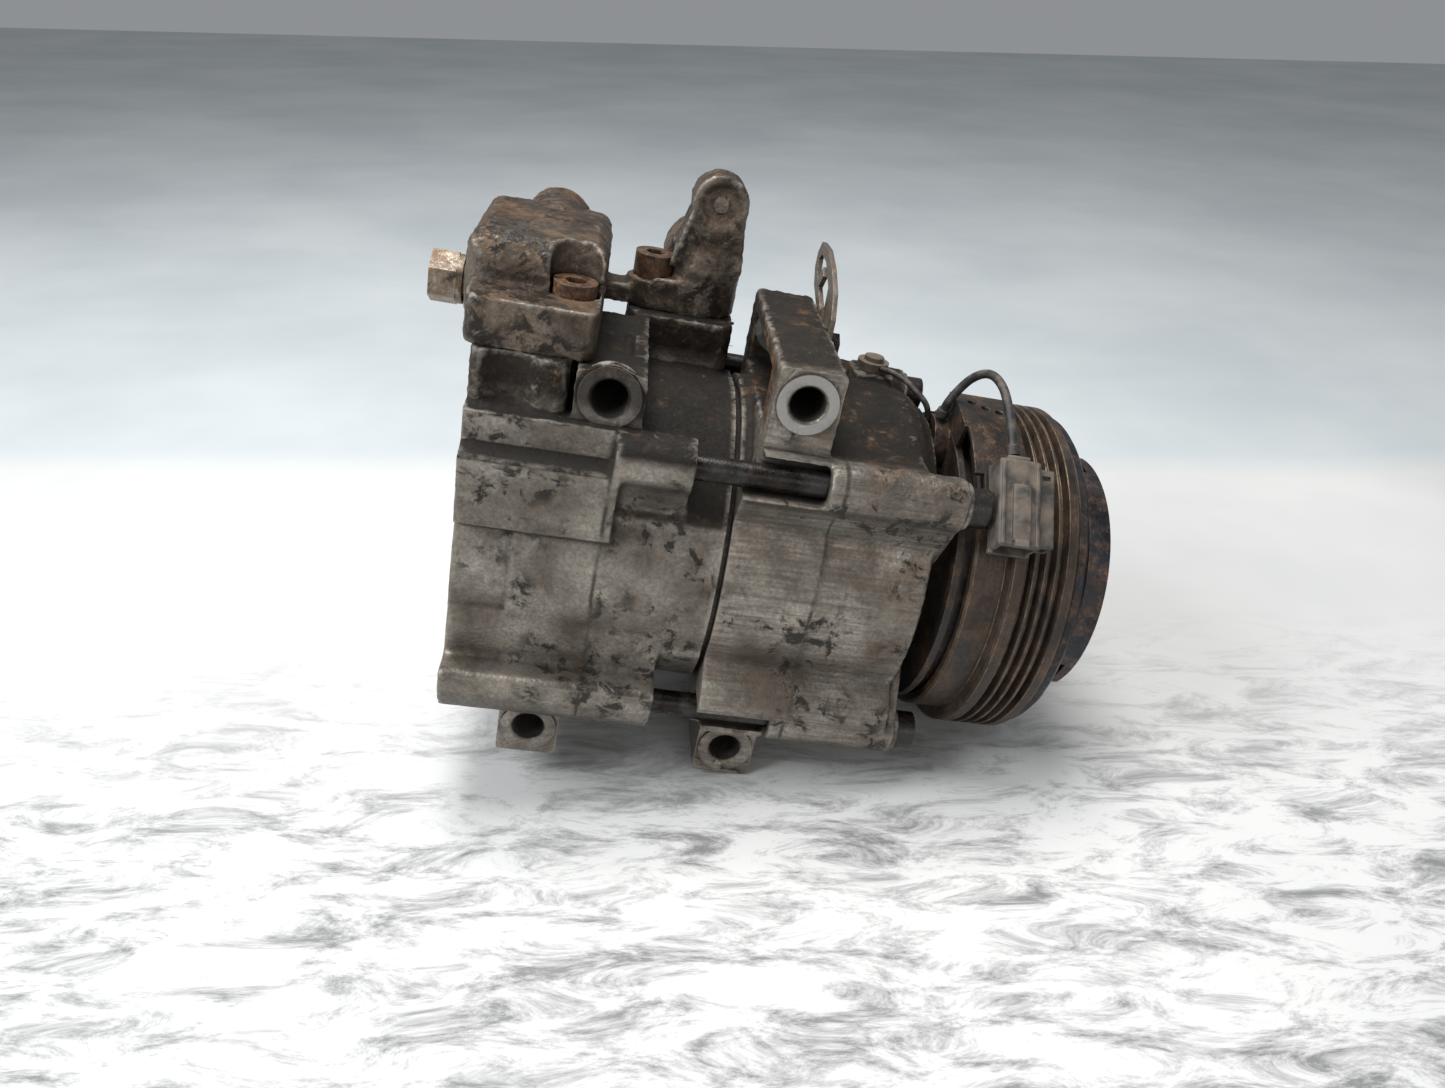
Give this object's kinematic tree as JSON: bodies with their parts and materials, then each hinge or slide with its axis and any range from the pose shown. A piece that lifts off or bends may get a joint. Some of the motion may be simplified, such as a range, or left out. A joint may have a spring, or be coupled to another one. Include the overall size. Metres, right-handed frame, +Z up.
{
  "type": "air conditioning compressor",
  "caption": "Used swash-plate car air conditioning compressor with a two-piece cast aluminium housing, electromagnetic clutch and ribbed belt pulley",
  "frame": {"origin": "shaft axis at the middle of the belt grooves", "axes": "+X along the shaft towards the pulley, +Z up, mounting lugs face -Y"},
  "size_m": [0.2218, 0.122, 0.1852],
  "materials": {
    "cast_alu": "as cast, oily and stained",
    "bore_alu": "machined",
    "manifold_alu": "as cast, corroded",
    "dark_steel": "phosphated",
    "bright_steel": "ground",
    "oily_steel": "black with oily dirt",
    "rusty_steel": "browned, light rust",
    "hub_steel": "dark plated, worn",
    "plated_brass": "corroded plating",
    "copper": "varnished",
    "rubber": "matt",
    "plastic": "dusty"
  },
  "bodies": {
    "housing": {"rear_housing": "cast_alu", "front_housing": "cast_alu", "rear_cylinder_block": "bore_alu", "front_cylinder_block": "bore_alu", "rear_valve_plate": "dark_steel", "front_valve_plate": "dark_steel", "rear_suction_reed": "bright_steel", "front_suction_reed": "bright_steel", "rear_discharge_reed": "bright_steel", "front_discharge_reed": "bright_steel", "rear_head_gasket": "dark_steel", "front_head_gasket": "dark_steel", "housing_o_ring": "rubber", "through_bolts": "oily_steel", "bolt_washers": "bright_steel", "manifold": "manifold_alu", "manifold_screws": "rusty_steel", "manifold_gasket": "rubber", "relief_valve": "plated_brass", "relief_valve_seal": "rubber", "swash_plate": "bright_steel", "piston_1": "bore_alu", "piston_2": "bore_alu", "piston_3": "bore_alu", "piston_4": "bore_alu", "piston_5": "bore_alu", "piston_shoes": "bright_steel", "rear_needle_bearing": "bright_steel", "front_needle_bearing": "bright_steel", "rear_thrust_bearing": "bright_steel", "front_thrust_bearing": "bright_steel", "shaft_seal": "rubber", "seal_snap_ring": "bright_steel", "coil_shell": "rusty_steel", "coil_winding": "copper", "coil_snap_ring": "bright_steel", "connector_bracket": "oily_steel", "connector": "plastic", "connector_terminals": "copper", "coil_lead": "rubber", "thermal_switch": "plastic", "switch_lead": "rubber", "bearing_inner_race": "bright_steel", "bearing_balls": "bright_steel", "bearing_seals": "rubber", "bearing_snap_ring": "bright_steel", "clip_bracket": "oily_steel", "clip_screw": "oily_steel"},
    "pulley": {"pulley": "rusty_steel", "bearing_outer_race": "bright_steel", "pulley_snap_ring": "bright_steel"},
    "shaft": {"shaft": "bright_steel", "clutch_hub": "hub_steel", "hub_nut": "bright_steel", "hub_shims": "bright_steel", "hub_rivets": "rusty_steel", "leaf_springs": "dark_steel"},
    "armature": {"armature_plate": "hub_steel", "armature_rivets": "rusty_steel"}
  },
  "joints": [
    {"name": "pulley_spin", "type": "hinge", "parent": "housing", "child": "pulley", "pos_m": [0, 0, 0], "axis": [1, 0, 0], "continuous": true},
    {"name": "shaft_spin", "type": "hinge", "parent": "housing", "child": "shaft", "pos_m": [0.02, 0, 0], "axis": [1, 0, 0], "continuous": true},
    {"name": "armature_slide", "type": "slide", "parent": "shaft", "child": "armature", "axis": [1, 0, 0], "range_m": [-0.00045, 0], "stiffness_N_per_m": 8000, "deforming": ["leaf_springs"]}
  ]
}
